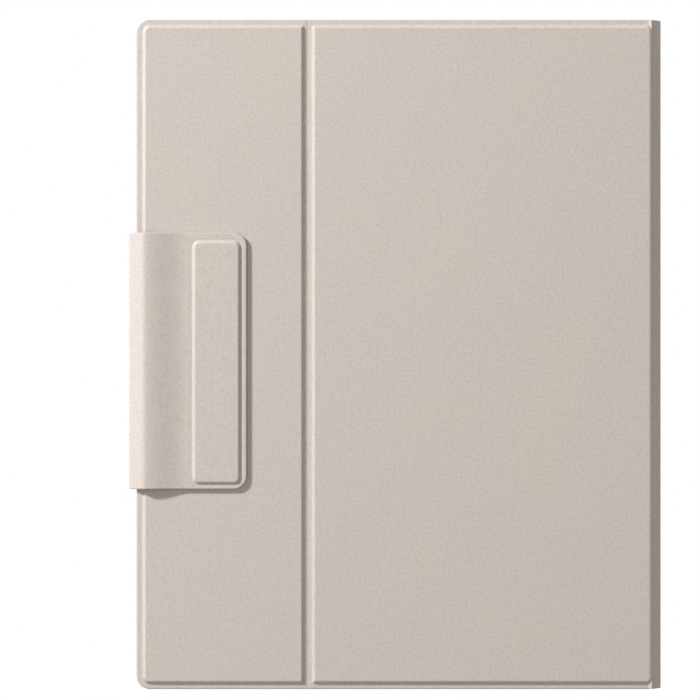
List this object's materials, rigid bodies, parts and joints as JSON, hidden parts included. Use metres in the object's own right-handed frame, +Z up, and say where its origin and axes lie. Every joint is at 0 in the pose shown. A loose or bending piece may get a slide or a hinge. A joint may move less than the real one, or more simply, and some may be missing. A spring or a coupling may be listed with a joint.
{
  "type": "e-reader in a folio",
  "caption": "Thin large-screen e-reader in a closed greige leatherette folio with a creased cover, a soft spine and a magnetic closure flap.",
  "frame": {"origin": "centre of the back panel's flat outer face, on which the closed folio lies", "axes": "+Z up out of the front cover, +Y along the folio's long side, +X towards the spine"},
  "size_m": [0.191, 0.24, 0.0137],
  "materials": {
    "leatherette": "fine grain, matt",
    "microfibre": "short nap",
    "stiffener": "pressed board",
    "magnet": "nickel plated",
    "steel": "pressed sheet",
    "shell": "fine matt texture",
    "bezel": "fine matt texture",
    "lens": "etched, anti-glare",
    "sensor_glass": "clear film",
    "panel_glass": "paper-like",
    "circuit": "solder mask",
    "pouch": "laminated foil",
    "black_plastic": "moulded",
    "flex": "polyimide film"
  },
  "bodies": {
    "back": {"back_skin": "leatherette", "back_board": "stiffener", "back_lining": "microfibre", "back_magnet_1": "magnet", "back_magnet_2": "magnet"},
    "reader": {"rear_shell": "shell", "front_bezel": "bezel", "screen_lens": "lens", "touch_sensor": "sensor_glass", "epaper_panel": "panel_glass", "digitizer_board": "circuit", "mid_frame": "steel", "screw_1": "steel", "screw_2": "steel", "screw_3": "steel", "screw_4": "steel", "screw_5": "steel", "screw_6": "steel", "main_board": "circuit", "shield_1": "steel", "shield_2": "steel", "battery_1": "pouch", "battery_2": "pouch", "battery_plug": "black_plastic", "bottom_board": "circuit", "hall_sensor": "black_plastic", "antenna": "flex", "microphone": "steel", "speaker_1": "black_plastic", "speaker_2": "black_plastic", "charging_port": "steel", "button_switch": "steel", "display_cable": "flex", "touch_cable": "flex", "reader_magnet_1": "magnet", "reader_magnet_2": "magnet"},
    "power_button": {"power_button": "bezel"},
    "spine": {"spine_skin": "leatherette", "spine_lining": "microfibre"},
    "cover_wide": {"wide_skin": "leatherette", "wide_board": "stiffener", "wide_lining": "microfibre", "sleep_magnet": "magnet"},
    "cover_narrow": {"narrow_skin": "leatherette", "narrow_board": "stiffener", "narrow_lining": "microfibre", "catch_plate": "steel"},
    "flap_wall": {"flap_wall_skin": "leatherette", "flap_wall_lining": "microfibre"},
    "flap": {"flap_skin": "leatherette", "flap_insert": "stiffener", "flap_magnet_1": "magnet", "flap_magnet_2": "magnet", "flap_lining": "microfibre"}
  },
  "joints": [
    {"name": "reader_slide", "type": "slide", "parent": "back", "child": "reader", "axis": [0, 1, 0], "range_m": [0, 0.245]},
    {"name": "power_press", "type": "slide", "parent": "reader", "child": "power_button", "axis": [0, -1, 0], "range_m": [0, 0.0003], "stiffness_N_per_m": 800, "springref_m": -0.001},
    {"name": "spine_lower", "type": "hinge", "parent": "back", "child": "spine", "pos_m": [0.092, 0, 0.0014], "axis": [0, 1, 0], "range_deg": [0, 90]},
    {"name": "spine_upper", "type": "hinge", "parent": "spine", "child": "cover_wide", "pos_m": [0.092, 0, 0.00892], "axis": [0, 1, 0], "range_deg": [0, 90]},
    {"name": "cover_crease", "type": "hinge", "parent": "cover_wide", "child": "cover_narrow", "pos_m": [-0.0325, 0, 0.00907], "axis": [0, -1, 0], "range_deg": [-120, 0]},
    {"name": "flap_lower", "type": "hinge", "parent": "back", "child": "flap_wall", "pos_m": [-0.0958, 0, 0.001], "axis": [0, -1, 0], "range_deg": [0, 90]},
    {"name": "flap_upper", "type": "hinge", "parent": "flap_wall", "child": "flap", "pos_m": [-0.0955, 0, 0.0124], "axis": [0, -1, 0], "range_deg": [0, 90]}
  ]
}
